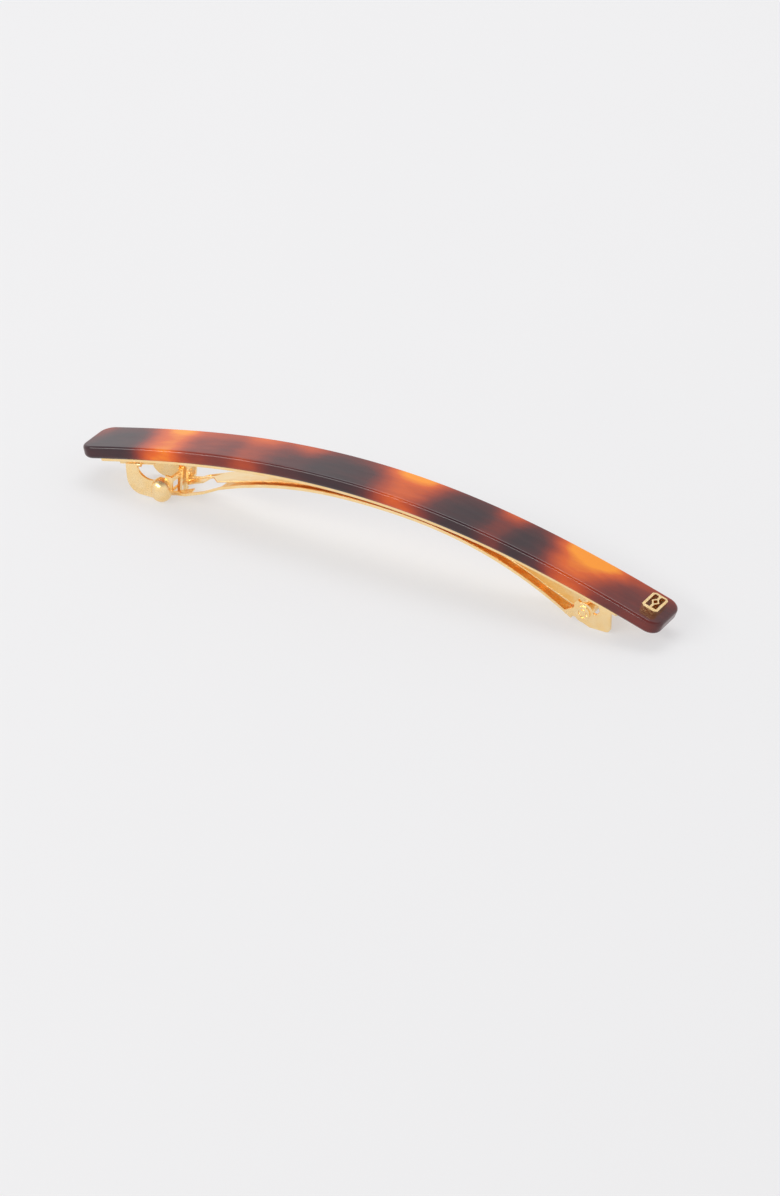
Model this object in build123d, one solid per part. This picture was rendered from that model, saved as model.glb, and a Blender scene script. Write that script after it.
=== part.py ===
from build123d import *
import math
import os

# Curved acetate barrette on a spring clasp with pinch-release domes.
# Row frame, millimetres: X along the bar from the catch end (-X) to the hinge end (+X),
# -Y towards the front, +Z up, Z = 0 where the ears and the domes stand on a table.
# The pieces are drawn in the bar's own frame, level at its crown, and are turned about Y
# at the end by the small angle at which the clasp stands on the table.

# ---- driving dimensions: acetate bar ----
BAR_LENGTH = 112.0
BAR_WIDTH = 9.5
BAR_THICK = 2.42
CROWN_Z = 14.2            # top of the bar at its middle, in the bar's frame
BOW = 0.0033325           # top line: z = CROWN_Z - BOW x^2 + EASE x^4
EASE = 1.264e-7           # the ends are a little straighter than the middle
BAR_CORNER = 2.3          # corner radius seen from above
BAR_TOP_EDGE = 0.55
BAR_BOTTOM_EDGE = 0.9

# ---- the table, in the bar's frame ----
DOME_X = -39.2
DOME_FOOT_Z = -0.72
EAR_FOOT_X = 45.5
EAR_FOOT_Z = 0.68

# ---- base plate, folded from one strip ----
PLATE_THICK = 0.5
PLATE_HALF = 4.0
PLATE_START = -52.5
PLATE_FULL_END = 47.7     # full width up to here, then a hidden tongue
PLATE_END = 52.0
TONGUE_HALF = 2.4
EAR_THICK = 0.6
EAR_LEFT = 45.0
EAR_RIGHT = 47.5
EAR_LOBE = 1.85
EAR_CORNER = 0.8
EAR_HORN = (-1.25, 2.1)   # top of the ear's free side, from the pivot
EAR_THROAT = (1.75, 0.35) # foot of the opening between that side and the post

# ---- hinge ----
PIVOT_X = 41.9
PIVOT_Z = 3.0
RIVET_RADIUS = 0.90
RIVET_HEAD = 1.25
HEAD_THICK = 0.22
STAKE_RING = (0.55, 0.85)  # the punch marks round the centre of each head
STAKE_WIDTH = 0.7
STAKE_DEPTH = 0.16
RUN_CLEARANCE = 0.05      # radial, between rivet and the pieces that turn on it

# ---- arm, a shallow channel ----
ARM_HALF = 3.1
ARM_LOOP_HALF = 4.35      # the loop at the catch is wider than the strip
ARM_WEB = 0.3
ARM_LIP_HEIGHT = 0.5
ARM_LIP_WIDTH = 0.3
ARM_TIP_X = -39.2
ARM_END_X = 39.3
ARM_BOW = 0.00222
ARM_POWER = 2.3
ARM_CROWN_X = 2.0
ARM_CROWN_Z = 9.95        # underside of the arm at its highest point
ARM_STRAIGHT_X = -28.0    # straight from here to the tip
ARM_SLOT = [(-38.6, 1.5), (-34.2, 1.5), (-33.6, 3.85), (-31.0, 3.85)]    # narrow where the catch holds it
ARM_SLOT_END = (-28.6, 3.85, 2.6)    # end, half width and corner radius of its round end
ARM_NECK_X = 38.2         # the lugs start to rise here
ARM_NECK_RISE = 0.2
LUG_RADIUS = 1.6
LUG_THICK = 0.5
LUG_GAP = 0.1             # between a lug and its ear

# ---- tension bar, a leaf spring ----
LEAF_THICK = 0.3
LEAF_HALF = 2.15
LEAF_LIFT = 0.62          # its underside above the arm's underside
LEAF_RISE = 0.5           # it stands this much higher again towards the hinge
LEAF_RISE_X = (12.0, 30.0)
LEAF_STRAIGHT_X = -22.0
LEAF_HUG_END_X = 34.0
LEAF_TIP_X = -36.3        # stops short of the catch hooks, which close in when pressed
LEAF_TONGUE_HALF = 0.3    # narrow where it crosses the arm's slot
LEAF_TONGUE_X = (-31.2, -29.6)    # it widens from the tongue to its full width here
WIDE = 5.0                # half width of a tool that cuts right across

# ---- catch ----
CATCH_X = -45.5           # middle of the leg's root
LEG_OUTER = 4.35
LEG_THICK = 0.5
KNUCKLE_RADIUS = 0.36
KNUCKLE_HALF = 1.05       # half the root's length along the plate
SADDLE_THICK = 0.5
SADDLE_HALF_LENGTH = 3.4
SADDLE_RIVET_RADIUS = 0.5
SADDLE_HEAD_RADIUS = 0.85
SADDLE_HEAD = 0.3
ROOT_GAP = 0.06           # a leg's root turns this far under the plate
LEG_ROOT = ((-46.55, 4.42), (-44.45, 4.96))               # left and right, under the plate
LEG_BACK = ((-46.2, 2.2), (-45.3, 0.25), (-43.4, -0.6))   # arc round the heel
LEG_SOLE_Z = -0.52
LEG_FRONT = ((-39.9, 3.3), (-42.7, 2.85), (-44.1, 4.0))   # arc inside the J
DOME_RADIUS = 1.8
DOME_HALF_Z = 2.25
DOME_WALL = 0.4
FINGER_LEFT = -38.6       # upright finger beside the dome, which carries the hook
HOOK_X = (-37.7, -37.2)
HOOK_Y = (0.6, 1.4)
BRIDGE_Z = (3.5, 4.4)     # inward bridge from the finger to the hook
BARB = 0.25
BARB_Z = (-0.22, 0.18)

# ---- plaque and its fixings ----
PLAQUE_X = 52.7
PLAQUE_SIZE = (3.0, 5.1)
PLAQUE_THICK = 0.85
PLAQUE_RIM = 0.45
PLAQUE_FRONT_RIM = 0.75
PLAQUE_BAR = 0.4
LOZENGE = (0.72, 1.25)    # half width and half length of the motif
LOZENGE_EYE = (0.42, 0.7) # and of the hole through it
WINDOW_CORNER = 0.15
PLAQUE_CORNER = 0.5
POST_RADIUS = 0.35
POST_DEPTH = 1.2
POST_INSET = 0.2          # posts stand this far in from the middle of the rim
PIN_X = (-50.6, 50.2)
PIN_RADIUS = 0.7
PIN_HEAD_RADIUS = 1.25
PIN_HEAD = 0.35
PIN_DEPTH = 1.3

TALL = 60.0               # longer than anything it cuts


# ---- lines in the XZ plane ----
def bar_top(x):
    return CROWN_Z - BOW * x**2 + EASE * x**4


def bar_slope(x):
    return -2 * BOW * x + 4 * EASE * x**3


def below_bar(x, depth):
    """Point at a depth under the bar's top line, measured square to it."""
    slope = bar_slope(x)
    length = math.hypot(1, slope)
    return (x + depth * slope / length, bar_top(x) - depth / length)


def arm_line(x):
    """Underside of the arm."""
    if x < ARM_STRAIGHT_X:
        span = ARM_CROWN_X - ARM_STRAIGHT_X
        slope = ARM_BOW * ARM_POWER * span ** (ARM_POWER - 1)
        return ARM_CROWN_Z - ARM_BOW * span**ARM_POWER + slope * (x - ARM_STRAIGHT_X)
    return ARM_CROWN_Z - ARM_BOW * abs(x - ARM_CROWN_X) ** ARM_POWER


def leaf_line(x):
    """Underside of the tension bar, up to where it leaves the arm for the rivet."""
    if x < LEAF_STRAIGHT_X:
        span = ARM_CROWN_X - LEAF_STRAIGHT_X
        slope = ARM_BOW * ARM_POWER * span ** (ARM_POWER - 1)
        return arm_line(LEAF_STRAIGHT_X) + LEAF_LIFT + slope * (x - LEAF_STRAIGHT_X)
    low, high = LEAF_RISE_X
    part = min(max((x - low) / (high - low), 0), 1)
    return arm_line(x) + LEAF_LIFT + LEAF_RISE * part**2 * (3 - 2 * part)


def floor_slope():
    return (EAR_FOOT_Z - DOME_FOOT_Z) / (EAR_FOOT_X - DOME_X)


def floor_line(x):
    """Height of the table in the bar's frame."""
    return DOME_FOOT_Z + floor_slope() * (x - DOME_X)


def samples(start, end, count):
    return [start + (end - start) * i / (count - 1) for i in range(count)]


def xz(points):
    return [(x, 0, z) for x, z in points]


def slab(face, half_width):
    """Solid on a face in the XZ plane, symmetric about Y = 0."""
    return extrude(Pos(0, -half_width, 0) * face, amount=2 * half_width, dir=(0, 1, 0))


def band(lower, upper, half_width):
    """Solid between two open lines of XZ points, symmetric about Y = 0."""
    low = Spline(*xz(lower))
    high = Spline(*xz(upper))
    first = Line(low @ 0, high @ 0)
    last = Line(low @ 1, high @ 1)
    return slab(make_face([low, last, high, first]), half_width)


def layer(x_start, x_end, line, rise_low, rise_high, half_width, count=17):
    """Strip that follows a height line, between two rises above it."""
    xs = samples(x_start, x_end, count)
    lower = [(x, line(x) + rise_low) for x in xs]
    upper = [(x, line(x) + rise_high) for x in xs]
    return band(lower, upper, half_width)


def under_bar(x_start, x_end, depth_low, depth_high, half_width, count=17):
    xs = samples(x_start, x_end, count)
    lower = [below_bar(x, depth_high) for x in xs]
    upper = [below_bar(x, depth_low) for x in xs]
    return band(lower, upper, half_width)


def plan(points, radius=0.0):
    """Tall prism on an outline of XY points, closed by mirroring it in Y = 0."""
    outline = list(points) + [(x, -y) for x, y in reversed(points)]
    face = make_face(Polyline(*outline, close=True))
    if radius:
        face = fillet(face.vertices(), radius)
    return extrude(face, amount=TALL, both=True)


def across(x, z, radius, y_low, y_high):
    """Cylinder along Y."""
    base = Plane((x, y_low, z), x_dir=(1, 0, 0), z_dir=(0, 1, 0))
    return extrude(base * Circle(radius), amount=y_high - y_low)


def along_slope(x, depth):
    """Plane on the bar's line: its X runs along the bar, its Z points out of the top."""
    px, pz = below_bar(x, depth)
    slope = bar_slope(x)
    return Plane((px, 0, pz), x_dir=(1, 0, slope), z_dir=(-slope, 0, 1))


# ---- pieces ----
def acetate_bar():
    half = BAR_LENGTH / 2
    bar = under_bar(-half, half, 0, BAR_THICK, BAR_WIDTH / 2)
    ends = bar.edges().filter_by(lambda e: abs(e.center().X) > half - 2 and e.length < BAR_THICK * 1.2)
    bar = fillet(ends, BAR_CORNER)
    low, high = bar.faces().filter_by(lambda f: f.area > BAR_LENGTH * 6).sort_by(Axis.Z)
    bar = fillet(high.edges(), BAR_TOP_EDGE)
    low = bar.faces().filter_by(lambda f: f.area > BAR_LENGTH * 6).sort_by(Axis.Z)[0]
    bar = fillet(low.edges(), BAR_BOTTOM_EDGE)
    for x in PIN_X:
        bar -= along_slope(x, BAR_THICK) * Cylinder(PIN_RADIUS, 2 * PIN_DEPTH)
    for y in plaque_post_rows():
        bar -= along_slope(PLAQUE_X, 0) * Pos(0, y, 0) * Cylinder(POST_RADIUS, 2 * POST_DEPTH)
    return bar


def plaque_post_rows():
    reach = PLAQUE_SIZE[1] / 2 - PLAQUE_RIM / 2 - POST_INSET
    return (-reach, reach)


def lozenge(half_width, half_length):
    corners = ((0, half_length), (half_width, 0), (0, -half_length), (-half_width, 0))
    return make_face(Polyline(*corners, close=True))


def plaque():
    """Openwork frame with a lozenge on a centre bar, on two posts."""
    width, length = PLAQUE_SIZE
    outer = Rectangle(width, length)
    outer = chamfer(outer.vertices(), PLAQUE_CORNER)
    window = Rectangle(width - 2 * PLAQUE_RIM, length - PLAQUE_RIM - PLAQUE_FRONT_RIM)
    window = Pos(0, (PLAQUE_FRONT_RIM - PLAQUE_RIM) / 2) * fillet(window.vertices(), WINDOW_CORNER)
    bar = Rectangle(PLAQUE_BAR, length - PLAQUE_RIM)
    middle = Pos(0, (PLAQUE_FRONT_RIM - PLAQUE_RIM) / 2)
    eye = middle * lozenge(*LOZENGE_EYE)
    motif = middle * lozenge(*LOZENGE) - eye
    face = (outer - window) + ((bar - eye) + motif)
    body = extrude(face, amount=PLAQUE_THICK)
    for y in plaque_post_rows():
        body += Pos(0, y, (PLAQUE_THICK - POST_DEPTH) / 2) * Cylinder(POST_RADIUS, PLAQUE_THICK + POST_DEPTH)
    return along_slope(PLAQUE_X, 0) * body


def ear_face():
    """Outline of one ear: a band down from the plate with a round lobe at the rivet."""
    fold = BAR_THICK + PLATE_THICK / 2
    left_top = below_bar(EAR_LEFT, fold)
    right_top = below_bar(EAR_RIGHT, fold)
    left_foot = PIVOT_X + 1.3
    right_foot = EAR_RIGHT - 0.45
    horn_x, horn_z = PIVOT_X + EAR_HORN[0], PIVOT_Z + EAR_HORN[1]
    throat_x, throat_z = PIVOT_X + EAR_THROAT[0], PIVOT_Z + EAR_THROAT[1]
    post = make_face(
        Polyline(
            left_top,
            right_top,
            (right_foot, floor_line(right_foot)),
            (left_foot, floor_line(left_foot)),
            (PIVOT_X, PIVOT_Z - EAR_LOBE),
            (PIVOT_X - EAR_LOBE, PIVOT_Z),
            (horn_x - 0.5, horn_z - 0.6),
            (horn_x, horn_z),
            (throat_x, throat_z),
            (throat_x + 0.6, throat_z),
            (EAR_LEFT - 0.15, throat_z + 0.8),
            close=True,
        )
    )
    foot_corner = post.vertices().group_by(Axis.X)[-2:]
    corner = [v for group in foot_corner for v in group if v.Y < PIVOT_Z]
    post = fillet(corner, EAR_CORNER)
    lobe = Pos(PIVOT_X, PIVOT_Z) * Circle(EAR_LOBE)
    return Plane.XZ * (post + lobe)


def base_plate():
    top = BAR_THICK
    bottom = BAR_THICK + PLATE_THICK
    plate = under_bar(PLATE_START, PLATE_END, top, bottom, PLATE_HALF)
    outline = [
        (PLATE_START - 1, PLATE_HALF - 1.2),
        (PLATE_START + 1.2, PLATE_HALF),
        (PLATE_FULL_END, PLATE_HALF),
        (PLATE_FULL_END + 0.8, TONGUE_HALF),
        (PLATE_END - 1.2, TONGUE_HALF),
        (PLATE_END + 1, TONGUE_HALF - 1.2),
    ]
    plate &= plan(outline)
    ear = slab(ear_face(), EAR_THICK / 2)
    for side in (-1, 1):
        plate += Pos(0, side * (PLATE_HALF - EAR_THICK / 2), 0) * ear
    plate -= across(PIVOT_X, PIVOT_Z, RIVET_RADIUS, -PLATE_HALF - 1, PLATE_HALF + 1)
    for x in PIN_X:
        plate -= along_slope(x, BAR_THICK) * Cylinder(PIN_RADIUS, TALL)
    for x in saddle_rivet_places():
        plate -= along_slope(x, BAR_THICK) * Cylinder(SADDLE_RIVET_RADIUS, TALL)
    return plate


def saddle_rivet_places():
    return (CATCH_X - 2.4, CATCH_X + 2.2)


def fixing_pins():
    pins = []
    for x in PIN_X:
        length = PIN_DEPTH + PLATE_THICK
        shank = Pos(0, 0, PIN_DEPTH - length / 2) * Cylinder(PIN_RADIUS, length)
        head = Pos(0, 0, -PLATE_THICK - PIN_HEAD / 2) * Cylinder(PIN_HEAD_RADIUS, PIN_HEAD)
        pins.append(along_slope(x, BAR_THICK) * (shank + head))
    return Compound(pins)


def catch_depth():
    """Depth of the knuckle's axis under the bar's top line."""
    return BAR_THICK + PLATE_THICK + ROOT_GAP + KNUCKLE_RADIUS


def knuckle_axis_y():
    return LEG_OUTER - KNUCKLE_RADIUS


def catch_saddle():
    """Middle of the catch, with a groove along each side for a leg's root."""
    top = BAR_THICK + PLATE_THICK
    start = CATCH_X - SADDLE_HALF_LENGTH
    end = CATCH_X + SADDLE_HALF_LENGTH
    saddle = under_bar(start, end, top, top + SADDLE_THICK, knuckle_axis_y() - 0.1, count=5)
    for x in saddle_rivet_places():
        saddle -= along_slope(x, BAR_THICK) * Cylinder(SADDLE_RIVET_RADIUS, TALL)
    turn = Rotation(0, 90, 0)
    for side in (-1, 1):
        groove = turn * Cylinder(KNUCKLE_RADIUS + RUN_CLEARANCE, 2 * SADDLE_HALF_LENGTH + 2)
        saddle -= along_slope(CATCH_X, catch_depth()) * Pos(0, side * knuckle_axis_y(), 0) * groove
    return saddle


def saddle_rivets():
    rivets = []
    grip = PLATE_THICK + SADDLE_THICK
    for x in saddle_rivet_places():
        shank = Pos(0, 0, -grip / 2) * Cylinder(SADDLE_RIVET_RADIUS, grip)
        head = Pos(0, 0, -grip - SADDLE_HEAD / 2) * Cylinder(SADDLE_HEAD_RADIUS, SADDLE_HEAD)
        rivets.append(along_slope(x, BAR_THICK) * (shank + head))
    return Compound(rivets)


def dome_z():
    return DOME_FOOT_Z + DOME_HALF_Z


def leg_face():
    """Side outline of a leg: its root under the plate, then a J-shaped band to the dome."""
    root_left, root_right = LEG_ROOT
    toe = (LEG_FRONT[0][0], LEG_SOLE_Z)
    outer = Polyline(root_left, LEG_BACK[0])
    bend = ThreePointArc(*LEG_BACK)
    under = Polyline(LEG_BACK[-1], toe, LEG_FRONT[0])
    inner = ThreePointArc(*LEG_FRONT)
    rise = Polyline(LEG_FRONT[-1], root_right, root_left)
    return Plane.XZ * make_face([outer, bend, under, inner, rise])


def egg(radius, half_height):
    """Upright rounded bead: two half balls joined by a short straight wall."""
    wall = half_height - radius
    bulge = radius * math.sqrt(0.5)
    axis = Line((0, -half_height), (0, half_height))
    top = ThreePointArc((0, half_height), (bulge, wall + bulge), (radius, wall))
    side = Line((radius, wall), (radius, -wall))
    bottom = ThreePointArc((radius, -wall), (bulge, -wall - bulge), (0, -half_height))
    return revolve(Plane.XZ * make_face([axis, top, side, bottom]), Axis.Z)


def catch_leg(side):
    sheet = slab(leg_face(), LEG_THICK / 2)
    sheet = Pos(0, -LEG_OUTER + LEG_THICK / 2, 0) * sheet

    centre = Pos(DOME_X, -LEG_OUTER + 0.1, dome_z())
    ball = centre * egg(DOME_RADIUS, DOME_HALF_Z)
    hollow = centre * egg(DOME_RADIUS - DOME_WALL, DOME_HALF_Z - DOME_WALL)
    cup = ball - hollow - block(DOME_X - 5, DOME_X + 5, -LEG_OUTER + LEG_THICK, 5, -9, 9)
    leg = (sheet - hollow) + cup

    knuckle = Rotation(0, 90, 0) * Cylinder(KNUCKLE_RADIUS, 2 * KNUCKLE_HALF)
    leg += along_slope(CATCH_X, catch_depth()) * Pos(0, -knuckle_axis_y(), 0) * knuckle

    x_low, x_high = HOOK_X
    y_low, y_high = HOOK_Y
    z_low, z_high = BRIDGE_Z
    finger = block(FINGER_LEFT, x_high, -LEG_OUTER, -LEG_OUTER + LEG_THICK, dome_z(), z_high)
    finger -= hollow
    bridge = block(x_low, x_high, -LEG_OUTER + 0.1, -y_low, z_low, z_high)
    shank = block(x_low, x_high, -y_high, -y_low, BARB_Z[0] + 0.1, z_low + 0.1)
    barb = block(x_low, x_high, -y_high - BARB, -y_low, BARB_Z[0], BARB_Z[1])
    leg += finger + bridge + shank + barb
    if side > 0:
        leg = mirror(leg, about=Plane.XZ)
    return leg


def block(x_low, x_high, y_low, y_high, z_low, z_high):
    box = Box(x_high - x_low, y_high - y_low, z_high - z_low)
    return Pos((x_low + x_high) / 2, (y_low + y_high) / 2, (z_low + z_high) / 2) * box


def arm_outline(inset):
    """Half outline from tip to hinge end; the loop at the catch is wider than the strip."""
    return [
        (ARM_TIP_X + inset, 1.9 - inset),
        (ARM_TIP_X + 1.0, 2.9 - inset),
        (-36.8, 3.25 - inset),
        (-34.5, ARM_LOOP_HALF - inset),
        (-31.0, ARM_LOOP_HALF - inset),
        (-28.6, ARM_HALF - inset),
        (ARM_END_X - inset, ARM_HALF - inset),
    ]


def clasp_arm():
    full = layer(ARM_TIP_X - 1, ARM_END_X + 0.01, arm_line, 0, ARM_LIP_HEIGHT, WIDE)
    hollow = layer(ARM_TIP_X - 1, ARM_END_X + 2, arm_line, ARM_WEB, 3, WIDE)
    arm = (full & plan(arm_outline(0))) - (hollow & plan(arm_outline(ARM_LIP_WIDTH)))
    slot_end, slot_half, slot_round = ARM_SLOT_END
    round_end = [(slot_end - 2 * slot_round - 0.4, slot_half), (slot_end, slot_half)]
    arm -= plan(ARM_SLOT) + plan(round_end, radius=slot_round)
    outer = PLATE_HALF - EAR_THICK - LUG_GAP
    for side in (-1, 1):
        y_low, y_high = sorted((side * outer, side * (outer - LUG_THICK)))
        disc = across(PIVOT_X, PIVOT_Z, LUG_RADIUS, y_low, y_high)
        neck = extrude(
            Plane.XZ.offset(-y_low)
            * Polygon(
                (ARM_NECK_X, arm_line(ARM_NECK_X)),
                (PIVOT_X, PIVOT_Z - LUG_RADIUS),
                (PIVOT_X, PIVOT_Z + LUG_RADIUS * 0.75),
                (ARM_NECK_X, arm_line(ARM_NECK_X) + ARM_LIP_HEIGHT + ARM_NECK_RISE),
                align=None,
            ),
            amount=-(y_high - y_low),
        )
        arm += disc + neck
    arm -= across(PIVOT_X, PIVOT_Z, RIVET_RADIUS + RUN_CLEARANCE, -WIDE, WIDE)
    return arm


def tension_bar():
    half = LEAF_THICK / 2
    strip = layer(LEAF_TIP_X, LEAF_HUG_END_X, leaf_line, 0, LEAF_THICK, LEAF_HALF)
    narrow, full = LEAF_TONGUE_X
    outline = [
        (LEAF_TIP_X - 1, LEAF_TONGUE_HALF),
        (narrow, LEAF_TONGUE_HALF),
        (full, LEAF_HALF),
        (LEAF_HUG_END_X + 1, LEAF_HALF),
    ]
    strip &= plan(outline)
    start = (LEAF_HUG_END_X, leaf_line(LEAF_HUG_END_X) + half)
    curl_radius = RIVET_RADIUS + RUN_CLEARANCE + half
    dx = PIVOT_X - start[0]
    dz = PIVOT_Z - start[1]
    reach = math.hypot(dx, dz)
    heading = math.atan2(dz, dx) - math.asin(curl_radius / reach)
    run = math.sqrt(reach**2 - curl_radius**2)
    ramp = Rot(0, 0, math.degrees(heading)) * Pos(run / 2, 0) * Rectangle(run, LEAF_THICK)
    run_out = Pos(*start) * (ramp + Circle(half))
    strip += slab(Plane.XZ * run_out, LEAF_HALF)
    curl = across(PIVOT_X, PIVOT_Z, curl_radius + half, -LEAF_HALF, LEAF_HALF)
    strip += curl
    strip -= across(PIVOT_X, PIVOT_Z, curl_radius - half, -WIDE, WIDE)
    return strip


def pivot_rivet():
    """Solid rivet; each head is staked with four short arcs round its centre."""
    rivet = across(PIVOT_X, PIVOT_Z, RIVET_RADIUS, -PLATE_HALF, PLATE_HALF)
    inner, outer = STAKE_RING
    for side in (-1, 1):
        face = side * (PLATE_HALF + HEAD_THICK)
        y_low, y_high = sorted((side * PLATE_HALF, face))
        rivet += across(PIVOT_X, PIVOT_Z, RIVET_HEAD, y_low, y_high)
        y_low, y_high = sorted((face - side * STAKE_DEPTH, face + side))
        ring = across(PIVOT_X, PIVOT_Z, outer, y_low, y_high) - across(PIVOT_X, PIVOT_Z, inner, y_low, y_high)
        bar = Box(4 * outer, TALL, STAKE_WIDTH)
        cross = bar + Rotation(0, 90, 0) * bar
        rivet -= ring & (Pos(PIVOT_X, 0, PIVOT_Z) * cross)
    return rivet


def standing():
    """Place of the bar's frame in the row: level on the table, centred along X."""
    turned = Rotation(0, math.degrees(math.atan(floor_slope())), 0) * Pos(0, 0, -floor_line(0))
    box = (turned * acetate_bar()).bounding_box()
    return Pos(-(box.min.X + box.max.X) / 2, 0, 0) * turned


os.makedirs("parts", exist_ok=True)
pieces = {
    "acetate_bar": acetate_bar(),
    "plaque": plaque(),
    "base_plate": base_plate(),
    "fixing_pins": fixing_pins(),
    "catch_saddle": catch_saddle(),
    "saddle_rivets": saddle_rivets(),
    "catch_leg_front": catch_leg(-1),
    "catch_leg_rear": catch_leg(1),
    "tension_bar": tension_bar(),
    "clasp_arm": clasp_arm(),
    "pivot_rivet": pivot_rivet(),
}
stand = standing()
for name, solid in pieces.items():
    placed = stand * solid
    export_step(placed, f"parts/{name}.step")
    print(name, round(placed.volume, 2), "mm3")

pivot = stand * Pos(PIVOT_X, 0, PIVOT_Z)
root = stand * along_slope(CATCH_X, catch_depth()).location
print("hinge axis passes through", pivot.position)
print("leg axes pass through", root.position, "at Y", knuckle_axis_y(), "along", Plane(root).x_dir)
print("ear foot at", (stand * Pos(EAR_FOOT_X, 0, EAR_FOOT_Z)).position)
print("bar frame to row:", stand.position, stand.orientation)
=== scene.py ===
# %% [markdown]
# # A tortoiseshell barrette on a gold spring clasp
# The working model comes first: it holds every piece at its real size and place, and the
# bodies that swing, flex and press. Everything made here rides on one of those bodies.

# %% Load the working model
import math

import bmesh
import bpy
from mathutils import Matrix, Vector


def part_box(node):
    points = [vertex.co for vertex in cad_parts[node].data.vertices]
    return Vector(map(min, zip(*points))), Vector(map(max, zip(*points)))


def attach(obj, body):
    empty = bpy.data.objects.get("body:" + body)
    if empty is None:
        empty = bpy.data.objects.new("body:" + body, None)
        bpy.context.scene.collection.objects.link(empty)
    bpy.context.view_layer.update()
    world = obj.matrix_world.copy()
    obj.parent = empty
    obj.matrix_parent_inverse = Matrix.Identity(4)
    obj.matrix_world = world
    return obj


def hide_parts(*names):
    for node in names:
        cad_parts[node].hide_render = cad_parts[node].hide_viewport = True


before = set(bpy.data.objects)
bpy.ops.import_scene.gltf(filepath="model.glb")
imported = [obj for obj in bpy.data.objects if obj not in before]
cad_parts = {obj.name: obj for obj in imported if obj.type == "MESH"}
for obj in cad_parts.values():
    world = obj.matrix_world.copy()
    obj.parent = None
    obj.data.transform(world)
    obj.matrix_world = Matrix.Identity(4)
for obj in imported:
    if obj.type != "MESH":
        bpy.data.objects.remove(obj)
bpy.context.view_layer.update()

MM = 0.001

# %% [markdown]
# ## The camera
# The view looks down on the bar from the front and a little from its hinge end, through a
# long lens, so the far end shrinks only slightly. A camera's three axes are its right, its
# up and the way back to the viewer, so they are built from azimuth, elevation and roll and
# go straight into its matrix.

# %% Camera
CAMERA_AZIMUTH = math.radians(26.813)
CAMERA_ELEVATION = math.radians(28.933)
CAMERA_ROLL = math.radians(2.979)
CAMERA_PLACE = Vector((347.565, -680.258, 413.170)) * MM
LENS = 153.442


def camera_axes(azimuth, elevation, roll):
    back = Vector((
        math.sin(azimuth) * math.cos(elevation),
        -math.cos(azimuth) * math.cos(elevation),
        math.sin(elevation),
    ))
    level = Vector((math.cos(azimuth), math.sin(azimuth), 0))
    upright = back.cross(level)
    right = math.cos(roll) * level + math.sin(roll) * upright
    up = math.cos(roll) * upright - math.sin(roll) * level
    return Matrix((right, up, back)).transposed()


lens = bpy.data.cameras.new("camera")
lens.lens = LENS
lens.sensor_width = 36
lens.clip_start = 0.01
camera = bpy.data.objects.new("camera", lens)
axes = camera_axes(CAMERA_AZIMUTH, CAMERA_ELEVATION, CAMERA_ROLL)
camera.matrix_world = Matrix.Translation(CAMERA_PLACE) @ axes.to_4x4()
bpy.context.scene.collection.objects.link(camera)
bpy.context.scene.camera = camera
print("camera at, mm:", [round(c / MM) for c in CAMERA_PLACE])

# %% [markdown]
# ## Node helpers
# Materials, the sky and the shape rules below are all node trees. Most of their work is
# plain arithmetic, so one helper adds a maths node, feeds it numbers or other nodes'
# outputs, and hands back its result. That keeps a formula readable as a formula.


# %% Node helpers
def feed(tree, socket, value):
    if isinstance(value, bpy.types.NodeSocket):
        tree.links.new(value, socket)
    elif value is not None:
        socket.default_value = value


def node(tree, kind, settings=None, **values):
    """Adds a node, sets its options, and feeds its inputs by name, _ for a space."""
    made = tree.nodes.new(kind)
    for name, value in (settings or {}).items():
        setattr(made, name, value)
    for name, value in values.items():
        feed(tree, made.inputs[name.replace("_", " ")], value)
    return made


def maths(tree, operation, *values):
    made = tree.nodes.new("ShaderNodeMath")
    made.operation = operation
    for socket, value in zip(made.inputs, values):
        feed(tree, socket, value)
    return made.outputs[0]


def vector_maths(tree, operation, *values, result=0):
    made = tree.nodes.new("ShaderNodeVectorMath")
    made.operation = operation
    for socket, value in zip(made.inputs, values):
        feed(tree, socket, value)
    return made.outputs[result]


def new_material(name):
    """An empty material: its tree, its shader, and the piece's own coordinates in mm."""
    material = bpy.data.materials.new(name)
    material.use_nodes = True
    tree = material.node_tree
    shader = tree.nodes["Principled BSDF"]
    place = tree.nodes.new("ShaderNodeTexCoord").outputs["Object"]
    scale = tree.nodes.new("ShaderNodeVectorMath")
    scale.operation = "SCALE"
    scale.inputs["Scale"].default_value = 1 / MM
    tree.links.new(place, scale.inputs[0])
    return material, tree, shader, scale.outputs[0]


def stretched(tree, place, x, y, z):
    """Coordinates multiplied by a factor along each axis."""
    return vector_maths(tree, "MULTIPLY", place, (x, y, z))


def noise(tree, place, scale, detail=3.0, roughness=0.5):
    return node(tree, "ShaderNodeTexNoise", Vector=place, Scale=scale, Detail=detail,
                Roughness=roughness).outputs["Fac"]


# Noise mostly stays inside these, so a finish made from it uses its whole range
NOISE_SPAN = (0.30, 0.70)
NARROW_SPAN = (0.35, 0.65)


def remap(tree, value, source, target):
    """Moves a value from the source range to the target range, clamped."""
    made = node(tree, "ShaderNodeMapRange", Value=value)
    for name, number in zip(("From Min", "From Max", "To Min", "To Max"), (*source, *target)):
        made.inputs[name].default_value = number
    return made.outputs["Result"]


def two_tone(tree, factor, first, second):
    """A colour between two, by a factor from 0 to 1."""
    made = node(tree, "ShaderNodeMix", {"data_type": "RGBA"})
    feed(tree, made.inputs["Factor"], factor)
    first_colour, second_colour = made.inputs[6], made.inputs[7]
    first_colour.default_value = (*first, 1)
    second_colour.default_value = (*second, 1)
    return made.outputs[2]


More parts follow.
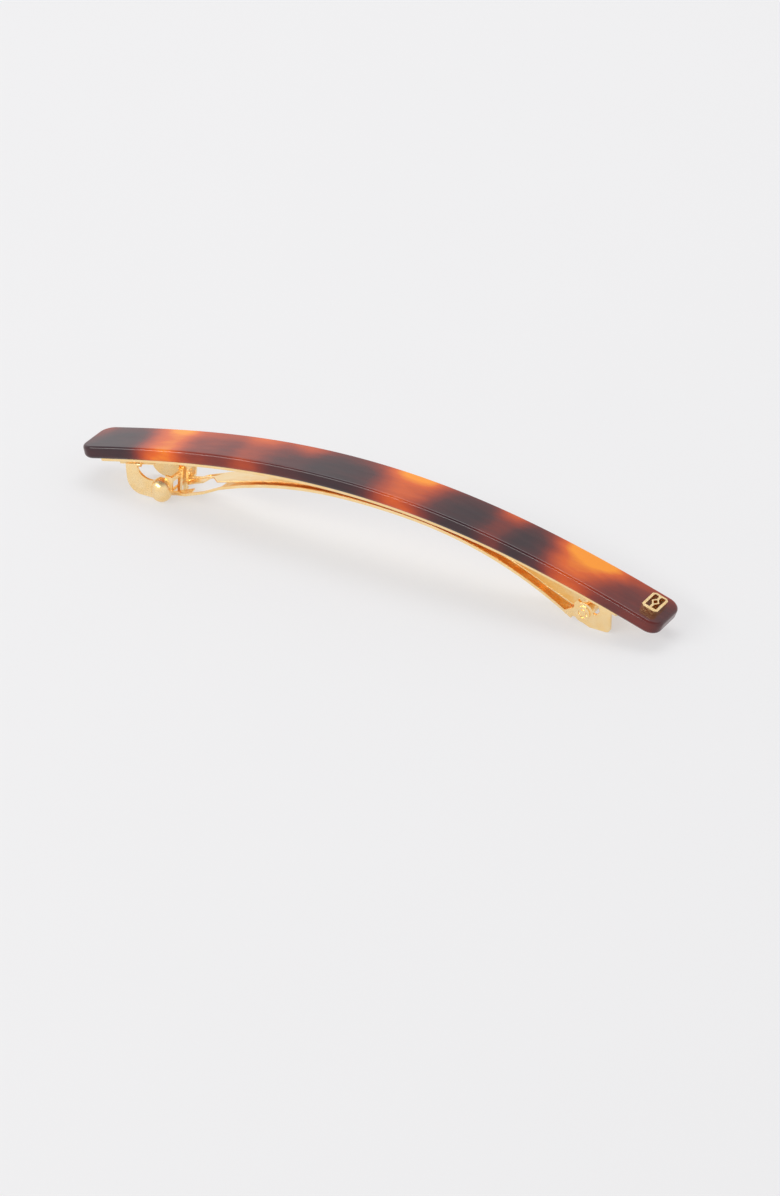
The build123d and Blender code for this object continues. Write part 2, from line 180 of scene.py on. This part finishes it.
def ramp(tree, value, stops):
    made = node(tree, "ShaderNodeValToRGB", Fac=value)
    steps = made.color_ramp.elements
    while len(steps) < len(stops):
        steps.new(0.5)
    for step, (place, colour) in zip(steps, stops):
        step.position = place
        step.color = (*colour, 1)
    return made.outputs["Color"]


# %% [markdown]
# ## Tortoiseshell acetate
# The sheet is amber plastic with cloudy dark dye poured through it, so the pattern has no
# hard edge anywhere: dark plum-brown where the cloud is thick, then red-brown, orange and
# amber where it thins. Each light window is a soft bell of brightness at its own place
# along the bar, leaning a little as the pour ran. The last bell is no dye window but a
# painted glow: a band along the whole far rim, standing in for light shining through the
# acetate's edge. The bells are added up, stirred with noise, and read through one colour
# ramp from dark to amber. The surface itself is polished and colourless: its gloss comes
# from the shader, not from the colour.

# %% Acetate
# x, y, half length, half width (mm), lean (degrees) and brightness of each light window; the last
# row is the painted rim glow
WINDOWS_AND_RIM_GLOW = (
    (-40.6, 0.0, 4.6, 30, 4, 0.54),
    (-34.0, 0.0, 9.5, 30, 0, 0.44),
    (-22.4, -0.5, 4.2, 30, 0, 0.46),
    (-15.2, -1.0, 4.0, 9, 0, 0.20),
    (-24.5, 4.0, 5.0, 3.0, 0, 0.08),
    (-14.6, 4.2, 4.6, 3.8, 0, 0.34),
    (6.2, 0.0, 6.4, 12, 0, 0.78),
    (3.0, 4.6, 12.0, 3.4, 0, 0.16),
    (24.2, 0.0, 3.0, 30, -5, 0.32),
    (24.5, 4.8, 4.0, 3.2, 0, 0.18),
    (39.0, 1.0, 6.2, 10, -8, 0.88),
    (40.5, 4.8, 11.0, 4.0, 0, 0.18),
    (50.5, 0.0, 7.0, 30, 0, 0.28),
    (-56.0, 3.5, 3.4, 6.5, 0, 0.32),
    # painted glow: a band along the whole far rim, light shining through the edge painted as colour
    (0.0, 5.4, 90, 3.6, 0, 0.24),
)
# Position in the ramp and colour, from thick dye to thin
DYE = (
    (0.0, (0.030, 0.010, 0.014)),
    (0.2, (0.078, 0.013, 0.014)),
    (0.4, (0.21, 0.022, 0.010)),
    (0.6, (0.44, 0.050, 0.006)),
    (0.8, (0.72, 0.110, 0.004)),
    (1.0, (1.0, 0.32, 0.008)),
)
WINDOW_DEPTH = 40               # mm, so that a window goes right through the sheet
BELL_POWER = 1.5                # on the squared distance: flatter on top than a plain bell
STIR = 0.5                      # mm, how far noise pushes the windows' edges about
STIR_GRAIN = 0.16
CLOUD_GRAIN = 2.2
CLOUD_STRETCH = (0.10, 0.25, 0.3)
CLOUD = (-0.04, 0.05)           # added to the brightness
POLISH_GRAIN = 0.8
POLISH = (0.04, 0.08)           # roughness
RIPPLE_GRAIN = 0.5
RIPPLE_STRETCH = (0.25, 1, 1)
RIPPLE_STRENGTH = 0.10
RIPPLE_HEIGHT = 0.0002          # m
ACETATE_IOR = 1.5


def window_bell(tree, place, x, y, length, width, lean, brightness, below):
    """Adds one soft bell of brightness to what is below it."""
    local = node(tree, "ShaderNodeMapping", {"vector_type": "TEXTURE"}, Vector=place,
                 Location=(x, y, 0), Rotation=(0, 0, math.radians(lean)),
                 Scale=(length, width, WINDOW_DEPTH))
    spread = vector_maths(tree, "DOT_PRODUCT", local.outputs[0], local.outputs[0], result=1)
    fade = maths(tree, "MULTIPLY", maths(tree, "POWER", spread, BELL_POWER), -1.0)
    bell = maths(tree, "EXPONENT", fade)
    return maths(tree, "MULTIPLY_ADD", bell, brightness, below)


def make_acetate():
    material, tree, shader, place = new_material("tortoiseshell_acetate")
    drift = node(tree, "ShaderNodeTexNoise", Vector=place, Scale=STIR_GRAIN, Detail=2.0)
    centred = vector_maths(tree, "SUBTRACT", drift.outputs["Color"], (0.5, 0.5, 0.5))
    push = vector_maths(tree, "MULTIPLY", centred, (2 * STIR, 2 * STIR, 0))
    stirred = vector_maths(tree, "ADD", place, push)
    brightness = 0.0
    for window in WINDOWS_AND_RIM_GLOW:
        brightness = window_bell(tree, stirred, *window, brightness)
    cloud = noise(tree, stretched(tree, place, *CLOUD_STRETCH), CLOUD_GRAIN, detail=4.0)
    brightness = maths(tree, "ADD", brightness, remap(tree, cloud, NOISE_SPAN, CLOUD))
    feed(tree, shader.inputs["Base Color"], ramp(tree, brightness, DYE))
    shader.inputs["IOR"].default_value = ACETATE_IOR
    polish = noise(tree, place, POLISH_GRAIN, detail=4.0)
    feed(tree, shader.inputs["Roughness"], remap(tree, polish, NARROW_SPAN, POLISH))
    ripple = noise(tree, stretched(tree, place, *RIPPLE_STRETCH), RIPPLE_GRAIN, detail=1.0)
    bump = node(tree, "ShaderNodeBump", Height=ripple, Strength=RIPPLE_STRENGTH,
                Distance=RIPPLE_HEIGHT)
    feed(tree, shader.inputs["Normal"], bump.outputs[0])
    return material


ACETATE = make_acetate()
print("acetate windows:", len(WINDOWS_AND_RIM_GLOW))

# %% [markdown]
# ## Gold plate
# The clasp is stamped from brass strip and plated bright gold. Plating is thin, so it keeps
# what the metal had before: fine lines along the rolled strip, a swell where the press
# stretched the sheet, and an even grain with no direction on the cast plaque. One function
# makes all three finishes; they differ in roughness, in how strong the lines and the swell
# are, and in how far the lines are drawn out.

# %% Gold finishes
GOLD_BRIGHT = (1.0, 0.76, 0.42)
GOLD_DEEP = (1.0, 0.71, 0.34)
LINE_GRAIN = 9.0
LINE_DEPTH = 0.00003    # m
SWELL_GRAIN = 0.55
SWELL_DEPTH = 0.0004    # m


def make_gold(name, roughness, line_strength, swell_strength, stretch):
    material, tree, shader, place = new_material(name)
    shader.inputs["Metallic"].default_value = 1.0
    lines = noise(tree, stretched(tree, place, *stretch), LINE_GRAIN, roughness=0.6)
    swell = noise(tree, place, SWELL_GRAIN, detail=2.0)
    depth = remap(tree, swell, NARROW_SPAN, (0.0, 1.0))
    feed(tree, shader.inputs["Base Color"], two_tone(tree, depth, GOLD_BRIGHT, GOLD_DEEP))
    feed(tree, shader.inputs["Roughness"], remap(tree, lines, NOISE_SPAN, roughness))
    soft = node(tree, "ShaderNodeBump", Height=swell, Strength=swell_strength,
                Distance=SWELL_DEPTH)
    fine = node(tree, "ShaderNodeBump", Height=lines, Strength=line_strength,
                Distance=LINE_DEPTH, Normal=soft.outputs[0])
    feed(tree, shader.inputs["Normal"], fine.outputs[0])
    return material


ROLLED_GOLD = make_gold("gold_rolled_strip", roughness=(0.12, 0.24), line_strength=0.35,
                        swell_strength=0.10, stretch=(0.08, 1.6, 1.6))
STAMPED_GOLD = make_gold("gold_stamped", roughness=(0.20, 0.34), line_strength=0.25,
                         swell_strength=0.30, stretch=(0.6, 0.9, 0.6))
CAST_GOLD = make_gold("gold_cast", roughness=(0.14, 0.26), line_strength=0.30,
                      swell_strength=0.12, stretch=(0.8, 0.8, 0.8))
print("gold finishes:", [m.name for m in (ROLLED_GOLD, STAMPED_GOLD, CAST_GOLD)])

# %% [markdown]
# ## The bow rule
# The bar is cut flat from a sheet, its edges are tumbled round, and it is then bent warm
# over a former. The node group below is that former. It takes anything laid out flat, x
# along the bar and z as depth below its top face, and wraps it round the bow. The bow is
# z = crown - bow x^2 + ease x^4, and depth is measured square to it. A last small turn
# stands the bar on the feet of its clasp. The rivets are laid out flat and go through the
# same former, so they land square on the curved strip with no placing by hand.

# %% Former
CROWN = 14.2 * MM
BOW = 0.0033325 / MM
EASE = 1.264e-7 / MM**3
STAND_ANGLE = math.radians(0.946951)
STAND_SHIFT = Vector((-0.076249, 0, 0.072056)) * MM
FORMER = (("Crown", CROWN), ("Bow", BOW), ("Ease", EASE), ("Stand angle", STAND_ANGLE))


def new_shape_tree(name, inputs):
    tree = bpy.data.node_groups.new(name, "GeometryNodeTree")
    tree.interface.new_socket("Geometry", in_out="INPUT", socket_type="NodeSocketGeometry")
    for label, value in inputs:
        kind = {float: "Float", int: "Int", bpy.types.Material: "Material"}[type(value)]
        socket = tree.interface.new_socket(label, in_out="INPUT",
                                           socket_type=f"NodeSocket{kind}")
        if kind != "Material":
            socket.default_value = value
    tree.interface.new_socket("Geometry", in_out="OUTPUT", socket_type="NodeSocketGeometry")
    source = tree.nodes.new("NodeGroupInput").outputs
    return tree, source, tree.nodes.new("NodeGroupOutput").inputs[0]


def make_former():
    tree, source, result = new_shape_tree("bow_former", FORMER)
    position = tree.nodes.new("GeometryNodeInputPosition").outputs[0]
    x, y, z = node(tree, "ShaderNodeSeparateXYZ", Vector=position).outputs
    square = maths(tree, "MULTIPLY", x, x)
    cube = maths(tree, "MULTIPLY", square, x)
    eased = maths(tree, "MULTIPLY", source["Ease"], maths(tree, "MULTIPLY", square, square))
    fall = maths(tree, "SUBTRACT", maths(tree, "MULTIPLY", source["Bow"], square), eased)
    top = maths(tree, "SUBTRACT", source["Crown"], fall)
    steep = maths(tree, "MULTIPLY", maths(tree, "MULTIPLY", source["Ease"], cube), 4.0)
    sag = maths(tree, "MULTIPLY", maths(tree, "MULTIPLY", source["Bow"], x), 2.0)
    slope = maths(tree, "SUBTRACT", steep, sag)
    length = maths(tree, "SQRT", maths(tree, "MULTIPLY_ADD", slope, slope, 1.0))
    out = maths(tree, "DIVIDE", z, length)
    along = maths(tree, "SUBTRACT", x, maths(tree, "MULTIPLY", out, slope))
    bent = node(tree, "ShaderNodeCombineXYZ", X=along, Y=y, Z=maths(tree, "ADD", top, out))
    turned = node(tree, "ShaderNodeVectorRotate", {"rotation_type": "AXIS_ANGLE"},
                  Vector=bent.outputs[0], Axis=(0, 1, 0), Angle=source["Stand angle"])
    placed = vector_maths(tree, "ADD", turned.outputs[0], tuple(STAND_SHIFT))
    moved = node(tree, "GeometryNodeSetPosition", Geometry=source["Geometry"], Position=placed)
    feed(tree, result, moved.outputs[0])
    return tree


BOW_FORMER = make_former()


def through_former(tree, source, geometry):
    """Adds the former to a tree and passes the tree's own bow inputs on to it."""
    made = tree.nodes.new("GeometryNodeGroup")
    made.node_tree = BOW_FORMER
    feed(tree, made.inputs["Geometry"], geometry)
    for label, _ in FORMER:
        feed(tree, made.inputs[label], source[label])
    return made.outputs[0]


def settle(piece):
    """Applies everything live on a piece, so that it is a plain mesh."""
    depsgraph = bpy.context.evaluated_depsgraph_get()
    mesh = bpy.data.meshes.new_from_object(piece.evaluated_get(depsgraph))
    piece.modifiers.clear()
    piece.data = mesh
    mesh.name = piece.name


def run_tree(piece, tree, values):
    """Runs a shape tree on a piece and leaves its result as a plain mesh."""
    modifier = piece.modifiers.new("shape", "NODES")
    modifier.node_group = tree
    for item in tree.interface.items_tree:
        if item.in_out == "INPUT" and item.name in values:
            modifier[item.identifier] = values[item.name]
    settle(piece)


def new_piece(name, shape, material):
    """Makes an object of a bmesh, and frees the bmesh."""
    mesh = bpy.data.meshes.new(name)
    shape.to_mesh(mesh)
    shape.free()
    mesh.materials.append(material)
    piece = bpy.data.objects.new(name, mesh)
    bpy.context.scene.collection.objects.link(piece)
    return piece


def span(piece):
    """Size of a piece in mm, for printing."""
    sides = zip(*piece.bound_box)
    return [round((max(side) - min(side)) / MM, 2) for side in sides]


# %% [markdown]
# ## The acetate bar
# The blank is a flat rounded rectangle. It is extruded to its thickness, both rims are
# rounded (the underside more than the top, as tumbling leaves it), and it is sliced every
# 0.8 mm so that it has somewhere to bend. Then it goes through the former. Weighted normals
# keep the broad faces flat and let only the rims turn the light.

# %% Bar
BAR_LENGTH = 112 * MM
BAR_WIDTH = 9.5 * MM
BAR_THICK = 2.42 * MM
BAR_CORNER = 2.3 * MM
TOP_EDGE = 0.55 * MM
BOTTOM_EDGE = 0.9 * MM
SLICE = 0.8 * MM
CORNER_STEPS = 14
EDGE_STEPS = 7
SAME = 1e-7         # m, points nearer than this are one point
CUT_SNAP = 1e-6     # m, a slice uses points that are this near to it


def rounded_rectangle(length, width, corner, steps):
    points = []
    for x_side, y_side, start in ((1, 1, 0), (-1, 1, 90), (-1, -1, 180), (1, -1, 270)):
        for step in range(steps + 1):
            angle = math.radians(start + 90 * step / steps)
            points.append((
                x_side * (length / 2 - corner) + corner * math.cos(angle),
                y_side * (width / 2 - corner) + corner * math.sin(angle),
            ))
    return points


def bar_blank():
    blank = bmesh.new()
    rim = rounded_rectangle(BAR_LENGTH, BAR_WIDTH, BAR_CORNER, CORNER_STEPS)
    face = blank.faces.new([blank.verts.new((x, y, -BAR_THICK)) for x, y in rim])
    grown = bmesh.ops.extrude_face_region(blank, geom=[face])["geom"]
    lifted = [part for part in grown if isinstance(part, bmesh.types.BMVert)]
    bmesh.ops.translate(blank, verts=lifted, vec=(0, 0, BAR_THICK))
    bmesh.ops.recalc_face_normals(blank, faces=blank.faces)
    for height, radius in ((0, TOP_EDGE), (-BAR_THICK, BOTTOM_EDGE)):
        edges = [e for e in blank.edges if all(abs(v.co.z - height) < SAME for v in e.verts)]
        bmesh.ops.bevel(blank, geom=edges, offset=radius, segments=EDGE_STEPS, profile=0.5,
                        affect="EDGES", clamp_overlap=False)
    count = round(BAR_LENGTH / SLICE)
    for i in range(1, count):
        x = -BAR_LENGTH / 2 + BAR_LENGTH * i / count
        everything = [*blank.verts, *blank.edges, *blank.faces]
        bmesh.ops.bisect_plane(blank, geom=everything, plane_co=(x, 0, 0), plane_no=(1, 0, 0),
                               dist=CUT_SNAP)
    for face in blank.faces:
        face.smooth = True
    return blank


def make_bar_tree():
    tree, source, result = new_shape_tree("bend_the_bar", (*FORMER, ("Finish", ACETATE)))
    bent = through_former(tree, source, source["Geometry"])
    finished = node(tree, "GeometryNodeSetMaterial", Geometry=bent, Material=source["Finish"])
    feed(tree, result, finished.outputs[0])
    return tree


bar = new_piece("acetate_bar_polished", bar_blank(), ACETATE)
run_tree(bar, make_bar_tree(), {**dict(FORMER), "Finish": ACETATE})
weigh = bar.modifiers.new("weigh", "WEIGHTED_NORMAL")
weigh.keep_sharp = True
settle(bar)
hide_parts("acetate_bar")
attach(bar, "holder")
low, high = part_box("acetate_bar")
print("bar, mm:", span(bar), "against", [round(side / MM, 2) for side in high - low])

# %% [markdown]
# ## Sheet-metal pieces
# The strips, legs and ears are right in shape already, but a stamped edge is never knife
# sharp: it rolls over by less than a tenth of a millimetre, and that round catches a bright
# line of light. Each piece is a merged copy of the working model's mesh with every hard
# edge rounded, which is what makes thin sheet read as metal. The plaque and the hinge rivet
# are right in shape too, and get their edges the same way.

# %% Rounded copies
MERGE = 0.002 * MM
FLAT_ANGLE = math.radians(0.4)
HARD_ANGLE = math.radians(32)
ROLL_STEPS = 2


def rounded_copy(node_name, edge, material, body):
    copy = bmesh.new()
    copy.from_mesh(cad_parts[node_name].data)
    bmesh.ops.remove_doubles(copy, verts=copy.verts, dist=MERGE)
    bmesh.ops.dissolve_limit(copy, angle_limit=FLAT_ANGLE, verts=copy.verts, edges=copy.edges)
    for face in copy.faces:
        face.smooth = True
        face.material_index = 0
    piece = new_piece(f"{node_name}_plated", copy, material)
    # the working mesh's own normals and hard edges came with the copy, and would hide the roll
    for layer in ("custom_normal", "sharp_edge", "sharp_face"):
        if layer in piece.data.attributes:
            piece.data.attributes.remove(piece.data.attributes[layer])
    roll = piece.modifiers.new("rolled edge", "BEVEL")
    roll.width = edge
    roll.segments = ROLL_STEPS
    roll.limit_method = "ANGLE"
    roll.angle_limit = HARD_ANGLE
    roll.use_clamp_overlap = True
    roll.harden_normals = True
    settle(piece)
    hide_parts(node_name)
    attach(piece, body)
    print(piece.name, "faces:", len(piece.data.polygons), "mm:", span(piece))


# Working piece, width of its rolled edge in mm, finish, and the body it rides on
SHEET = (
    ("base_plate", 0.08, ROLLED_GOLD, "holder"),
    ("tension_bar", 0.06, ROLLED_GOLD, "leaf"),
    ("clasp_arm", 0.07, STAMPED_GOLD, "arm"),
    ("catch_saddle", 0.07, STAMPED_GOLD, "holder"),
    ("catch_leg_front", 0.08, STAMPED_GOLD, "front_leg"),
    ("catch_leg_rear", 0.08, STAMPED_GOLD, "rear_leg"),
    ("pivot_rivet", 0.04, STAMPED_GOLD, "holder"),
    ("plaque", 0.09, CAST_GOLD, "holder"),
)
for node_name, edge, material, body in SHEET:
    rounded_copy(node_name, edge * MM, material, body)

# %% [markdown]
# ## Rivets and pins
# Two pins hold the acetate on the strip and two small rivets hold the catch under it. Each
# kind is one turned shape, a shank with a low domed head, repeated along a line. The shape
# tree stands copies of it on the points of a straight line at the right depth and sends
# the row through the former.

# %% Rivet rows
TURN_STEPS = 40
DOME_STEP = 10      # degrees
RIM = 0.25          # of the head's height, straight before the dome starts
SEAT = 0.985        # of the head's radius, where it meets the strip
TIP = 0.9           # of the shank's radius, at the end of its chamfer
TIP_START = 0.96    # of the shank's length


def turned(outline):
    """Closed solid turned about Z from (radius, height) points, both ends on the axis."""
    solid = bmesh.new()
    points = [solid.verts.new((radius, 0, height)) for radius, height in outline]
    edges = [solid.edges.new(pair) for pair in zip(points, points[1:])]
    bmesh.ops.spin(solid, geom=[*points, *edges], cent=(0, 0, 0), axis=(0, 0, 1),
                   angle=math.tau, steps=TURN_STEPS, use_duplicate=False)
    bmesh.ops.remove_doubles(solid, verts=solid.verts, dist=SAME)
    bmesh.ops.recalc_face_normals(solid, faces=solid.faces)
    for face in solid.faces:
        face.smooth = True
    return solid


def domed_rivet(shank, head, rise, length):
    """Head downwards: a shank up from z = 0, and a low dome below it."""
    angles = [math.radians(a) for a in range(90 - DOME_STEP, 0, -DOME_STEP)]
    dome = [(head * math.cos(a), -RIM * rise - (1 - RIM) * rise * math.sin(a)) for a in angles]
    return [(0, -rise), *dome, (head, -RIM * rise), (head * SEAT, 0), (shank, 0),
            (shank, length * TIP_START), (shank * TIP, length), (0, length)]


def make_row_tree():
    places = (("First", 0.0), ("Spacing", 0.0), ("Count", 2), ("Depth", 0.0))
    tree, source, result = new_shape_tree("rivet_row", (*places, *FORMER, ("Finish", STAMPED_GOLD)))
    under = maths(tree, "MULTIPLY", source["Depth"], -1.0)
    start = node(tree, "ShaderNodeCombineXYZ", X=source["First"], Z=under)
    step = node(tree, "ShaderNodeCombineXYZ", X=source["Spacing"])
    line = node(tree, "GeometryNodeMeshLine", Count=source["Count"])
    feed(tree, line.inputs["Start Location"], start.outputs[0])
    feed(tree, line.inputs["Offset"], step.outputs[0])
    row = node(tree, "GeometryNodeInstanceOnPoints", Points=line.outputs[0],
               Instance=source["Geometry"])
    real = node(tree, "GeometryNodeRealizeInstances", Geometry=row.outputs[0])
    bent = through_former(tree, source, real.outputs[0])
    finished = node(tree, "GeometryNodeSetMaterial", Geometry=bent, Material=source["Finish"])
    feed(tree, result, finished.outputs[0])
    return tree


RIVET_ROW = make_row_tree()


def sharpen(piece):
    """Marks hard edges, so that smooth shading stops at them."""
    shape = bmesh.new()
    shape.from_mesh(piece.data)
    for edge in shape.edges:
        edge.smooth = edge.calc_face_angle(0) < HARD_ANGLE
    shape.to_mesh(piece.data)
    shape.free()


def rivet_row(name, node_name, shape, first, last, depth):
    """Two turned pieces, at x = first and x = last on the bar, heads at a depth below its top."""
    row = new_piece(name, turned(shape), STAMPED_GOLD)
    places = {"First": first, "Spacing": last - first, "Count": 2, "Depth": depth}
    run_tree(row, RIVET_ROW, {**places, **dict(FORMER), "Finish": STAMPED_GOLD})
    sharpen(row)
    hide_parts(node_name)
    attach(row, "holder")
    print(name, "faces:", len(row.data.polygons), "mm:", span(row))


# %% Pins and rivets
PLATE_THICK = 0.5 * MM
SADDLE_THICK = 0.5 * MM
PIN_GRIP = 1.3 * MM     # how far a pin goes into the acetate

under_plate = BAR_THICK + PLATE_THICK
pin = domed_rivet(shank=0.7 * MM, head=1.25 * MM, rise=0.35 * MM, length=PLATE_THICK + PIN_GRIP)
rivet_row("fixing_pins_turned", "fixing_pins", pin, -50.6 * MM, 50.2 * MM, under_plate)

under_saddle = under_plate + SADDLE_THICK
rivet = domed_rivet(shank=0.5 * MM, head=0.85 * MM, rise=0.3 * MM,
                    length=PLATE_THICK + SADDLE_THICK)
rivet_row("saddle_rivets_turned", "saddle_rivets", rivet, -47.9 * MM, -43.3 * MM, under_saddle)

# %% [markdown]
# ## Floor and light
# A high-key table-top picture: a pale sweep that runs on past the view, and a pale sky,
# dimmer overhead, that everything glossy reflects. A wide soft lamp overhead gives shape,
# and a low strip in front draws the bright line along the bar's rounded edge. The floor
# has a painted glow: it emits light though it is no lamp, standing in for fill light so
# shadows stay faint. Gold lights gold: in the channel of the arm a ray bounces many times
# and grows more orange each time, so the scene allows more glossy bounces than usual.

# %% Floor
FLOOR_SIZE = 6.0
FLOOR_COLOUR = (0.34, 0.34, 0.345)
FLOOR_SHADE = 0.99              # its darker patches, as a share of its colour
FLOOR_GRAIN = 0.02
FLOOR_ROUGHNESS = 0.6
FLOOR_SHINE = 0.1
# painted glow: the floor emits light, standing in for fill light so shadows stay faint
FLOOR_PAINTED_GLOW = 0.50
PAINTED_GLOW_COLOUR = (1.0, 0.995, 1.0)


def make_floor():
    material, tree, shader, place = new_material("floor_sweep")
    patches = remap(tree, noise(tree, place, FLOOR_GRAIN, detail=2.0), NOISE_SPAN, (0.0, 1.0))
    darker = [channel * FLOOR_SHADE for channel in FLOOR_COLOUR]
    feed(tree, shader.inputs["Base Color"], two_tone(tree, patches, FLOOR_COLOUR, darker))
    shader.inputs["Roughness"].default_value = FLOOR_ROUGHNESS
    shader.inputs["Specular IOR Level"].default_value = FLOOR_SHINE
    # painted glow, though the floor is no lamp: emission that fades its shadows
    shader.inputs["Emission Color"].default_value = (*PAINTED_GLOW_COLOUR, 1)
    shader.inputs["Emission Strength"].default_value = FLOOR_PAINTED_GLOW
    half = FLOOR_SIZE / 2
    sheet = bmesh.new()
    corners = ((-half, -half), (half, -half), (half, half), (-half, half))
    sheet.faces.new([sheet.verts.new((x, y, 0)) for x, y in corners])
    new_piece("floor", sheet, material)
    print("floor, m:", FLOOR_SIZE)


make_floor()

# %% Sky and lamps
HORIZON = (0.90, 0.90, 0.91)
ZENITH = (0.30, 0.30, 0.31)
SKY_FADE = (0.45, 0.95)         # heights between which the sky dims, straight up being 1
GOLD_BOUNCES = 12


def make_sky():
    world = bpy.data.worlds.new("sky")
    world.use_nodes = True
    tree = world.node_tree
    direction = tree.nodes.new("ShaderNodeTexCoord").outputs["Generated"]
    height = node(tree, "ShaderNodeSeparateXYZ", Vector=direction).outputs[2]
    climb = remap(tree, height, SKY_FADE, (0.0, 1.0))
    feed(tree, tree.nodes["Background"].inputs["Color"], two_tone(tree, climb, HORIZON, ZENITH))
    bpy.context.scene.world = world


def soft_lamp(name, place, size, power, colour=(1, 1, 1)):
    lamp = bpy.data.lights.new(name, "AREA")
    lamp.shape = "RECTANGLE"
    lamp.size, lamp.size_y = size
    lamp.energy = power
    lamp.color = colour
    holder = bpy.data.objects.new(name, lamp)
    holder.location = place
    holder.rotation_euler = (-Vector(place)).to_track_quat("-Z", "Y").to_euler()
    bpy.context.scene.collection.objects.link(holder)


make_sky()
soft_lamp("overhead", place=(-0.22, 0.40, 0.85), size=(0.8, 0.5), power=3.2)
soft_lamp("front_strip", place=(-0.42, -0.76, 0.52), size=(0.9, 0.16), power=4.0,
          colour=(1.0, 0.98, 0.95))
bpy.context.scene.view_settings.view_transform = "Standard"
bpy.context.scene.cycles.glossy_bounces = GOLD_BOUNCES
